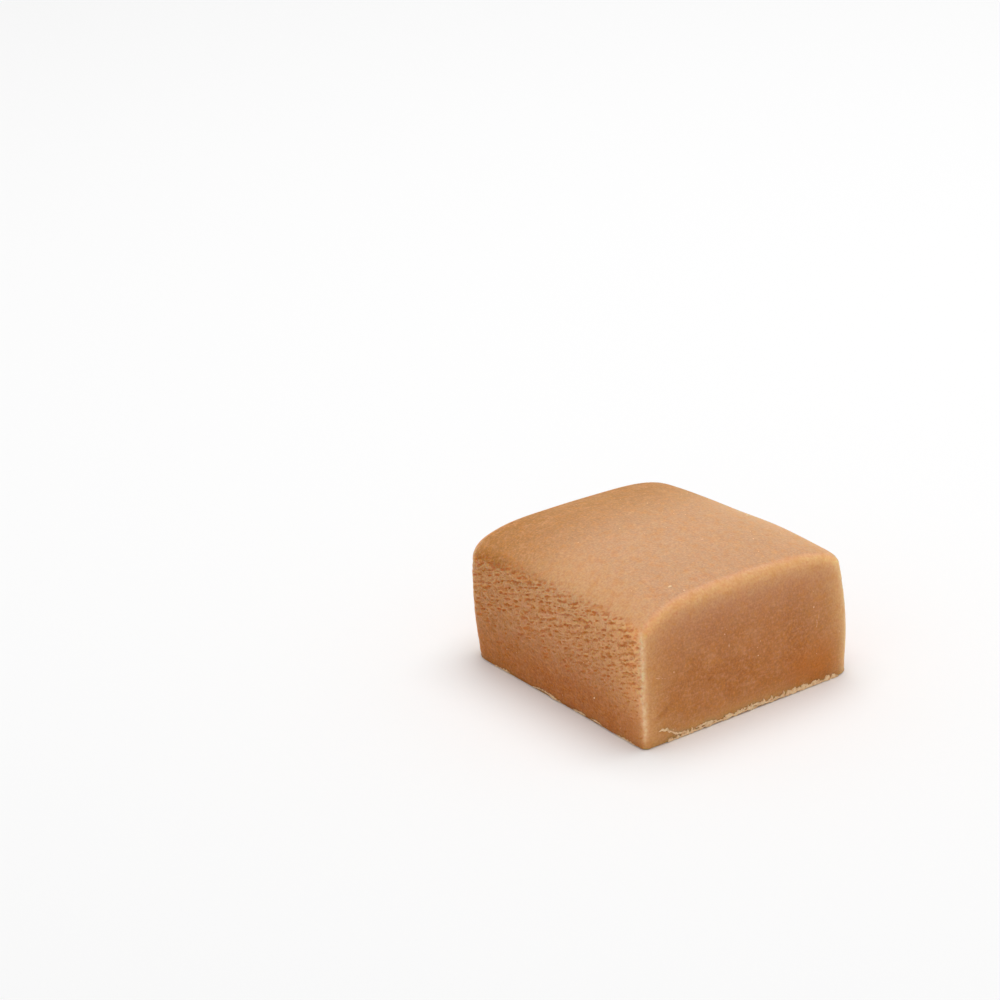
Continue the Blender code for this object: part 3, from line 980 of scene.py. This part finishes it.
burr = join_parts("foot_burr", [ribbon(*run, SEED + 40 + k) for k, run in enumerate(BURR_PATHS)])
print("burr:", len(burr.data.polygons), "faces")

# %% [markdown]
# ## Loose sugar grains
#
# A few coarse grains sit half sunk in the skin and catch the light. Rounded
# dots would look like beads, so each grain is a small uneven lump.

# %% Scatter the grains
GRAIN_PLACES = (
    ("end", -2.9, 8.7, 0.06), ("end", 7.8, 8.1, 0.07), ("end", 0.9, 5.4, 0.06),
    ("end", -9.0, 6.9, 0.07), ("side", 6.5, 2.7, 0.10), ("side", -7.5, 2.6, 0.06),
    ("side", 9.3, 4.9, 0.07), ("top", 2.0, 9.7, 0.14), ("top", 5.7, 1.3, 0.10),
    ("top", 10.9, -6.7, 0.16), ("top", 12.2, -6.1, 0.10), ("top", -4.2, 4.0, 0.08),
    ("top", 8.0, 5.5, 0.08),
)
SCATTERED = 60


def grain_lump(face, along, across, radius, seed):
    """Points and faces of one uneven grain, half sunk where it lies."""
    place, normal = on_surface(face, along, across)
    bm = bmesh.new()
    bmesh.ops.create_icosphere(bm, subdivisions=2, radius=1.0)
    corners = np.array([v.co[:] for v in bm.verts])
    faces = [tuple(v.index for v in f.verts) for f in bm.faces]
    bm.free()
    corners *= (1.0 + 0.35 * noise(corners * 1.7 + seed, seed))[:, None]
    corners *= np.array([1.3, 0.8, 0.55]) * radius * MM
    turn = normal.to_track_quat("Z", "X") @ Quaternion((0.0, 0.0, 1.0), seed * 1.9)
    return [place + turn @ Vector(c) for c in corners], faces


draw = np.random.default_rng(SEED)
lumps = [grain_lump(*place, 60 + k) for k, place in enumerate(GRAIN_PLACES)]
for k in range(SCATTERED):
    face = ("end", "side", "top", "top")[k % 4]
    along = draw.uniform(-11.0, 11.0)
    across = draw.uniform(-9.5, 9.5) if face == "top" else draw.uniform(1.0, 10.5)
    lumps.append(grain_lump(face, along, across, draw.uniform(0.02, 0.05), 80 + k))
grains = join_parts("sugar_grains", lumps)
grains.data.shade_smooth()
print("grains:", len(lumps))

# %% [markdown]
# ## The dry sugar's finish
#
# Sugar that has dried out is paler and duller than the fudge, and hardly lets
# light in. A cloudy mix of two tones keeps the burr from looking like paint.

# %% Material for the burr and the grains
def dry_material():
    """Pale dry sugar, nearly opaque."""
    material = bpy.data.materials.new("dry sugar")
    material.use_nodes = True
    tree = material.node_tree
    shader = tree.nodes["Principled BSDF"]
    where = add(tree, "ShaderNodeTexCoord").outputs["Object"]
    start = add(tree, "ShaderNodeMix", data_type="RGBA")
    start.inputs["A"].default_value = ROLLED
    start.inputs["B"].default_value = DRY_SUGAR
    tree.links.new(noise_mask(tree, where, 2600.0, 0.30, 0.52), start.inputs["Factor"])
    tree.links.new(start.outputs["Result"], shader.inputs["Base Color"])
    shader.inputs["Roughness"].default_value = 0.75
    shader.inputs["Subsurface Weight"].default_value = 0.2
    shader.inputs["Subsurface Radius"].default_value = (1.0, 0.7, 0.5)
    shader.inputs["Subsurface Scale"].default_value = 0.0003
    return material


DRY_MATERIAL = dry_material()
for piece in (burr, grains):
    piece.data.materials.append(DRY_MATERIAL)
print("dry sugar on:", burr.name, "and", grains.name)

# %% [markdown]
# ## Floor, light and camera
#
# A plain white floor keeps attention on the sweet. One large soft light hangs
# above and a little behind, as in a product studio, and an even white surround
# fills the rest, so the top is the brightest face and the two upright faces are
# a step darker. Several small lamps would give the soft block hard highlights.

# %% Stage
FLOOR_GAP = 0.00002
SURROUND = 0.45


def make_floor():
    """A wide white sheet just under the piece."""
    mesh = bpy.data.meshes.new("floor")
    half = 1.5
    corners = [(-half, -half, 0.0), (half, -half, 0.0), (half, half, 0.0), (-half, half, 0.0)]
    mesh.from_pydata(corners, [], [(0, 1, 2, 3)])
    floor = bpy.data.objects.new("floor", mesh)
    floor.location.z = -FLOOR_GAP
    bpy.context.scene.collection.objects.link(floor)
    material = bpy.data.materials.new("white floor")
    material.use_nodes = True
    shader = material.node_tree.nodes["Principled BSDF"]
    shader.inputs["Base Color"].default_value = (0.97, 0.97, 0.97, 1.0)
    shader.inputs["Roughness"].default_value = 0.9
    mesh.materials.append(material)
    return floor


def soft_light(name, at, size, power, aim=(0.0, 0.0, 0.007)):
    """A square area light that looks at the piece."""
    data = bpy.data.lights.new(name, "AREA")
    data.energy = power
    data.size = size
    lamp = bpy.data.objects.new(name, data)
    lamp.location = at
    lamp.rotation_mode = "QUATERNION"
    lamp.rotation_quaternion = (Vector(aim) - Vector(at)).to_track_quat("-Z", "Y")
    bpy.context.scene.collection.objects.link(lamp)
    return lamp


make_floor()
soft_light("overhead", (-0.05, 0.10, 0.60), 0.55, 2.7)
world = bpy.data.worlds.new("studio")
bpy.context.scene.world = world
world.use_nodes = True
world.node_tree.nodes["Background"].inputs["Color"].default_value = (1.0, 1.0, 1.0, 1.0)
world.node_tree.nodes["Background"].inputs["Strength"].default_value = SURROUND
bpy.context.scene.view_settings.view_transform = "Standard"

# %% Camera
AZIMUTH, ELEVATION, ROLL = math.radians(52.39), math.radians(24.57), math.radians(1.9)
DISTANCE = 400.0
PIXELS_PER_MM = 10.59
AIM_PIXEL = (655.9, 595.4)
IMAGE_SIZE = 1000.0
SENSOR = 36.0


def make_camera():
    """A long lens that looks down on the crisp corner, the piece right of centre."""
    back = Vector((
        math.sin(AZIMUTH) * math.cos(ELEVATION),
        -math.cos(AZIMUTH) * math.cos(ELEVATION),
        math.sin(ELEVATION),
    ))
    right = Vector((math.cos(AZIMUTH), math.sin(AZIMUTH), 0.0))
    up = back.cross(right)
    right_r = right * math.cos(ROLL) - up * math.sin(ROLL)
    up_r = right * math.sin(ROLL) + up * math.cos(ROLL)
    target = Vector((-shift[0], -shift[1], 7.0))
    place = target + back * DISTANCE
    aim = target - right_r * (AIM_PIXEL[0] - IMAGE_SIZE / 2) / PIXELS_PER_MM
    aim += up_r * (AIM_PIXEL[1] - IMAGE_SIZE / 2) / PIXELS_PER_MM
    look = (place - aim).normalized()
    side = up_r.cross(look).normalized()
    above = look.cross(side)
    data = bpy.data.cameras.new("camera")
    data.lens = PIXELS_PER_MM * DISTANCE * SENSOR / IMAGE_SIZE
    data.clip_start, data.clip_end = 0.01, 10.0
    camera = bpy.data.objects.new("camera", data)
    turn = Matrix((side, above, look)).transposed()
    camera.matrix_world = Matrix.Translation(place * MM) @ turn.to_4x4()
    bpy.context.scene.collection.objects.link(camera)
    bpy.context.scene.camera = camera
    return camera


camera = make_camera()
print("lens:", round(camera.data.lens, 1), "mm")
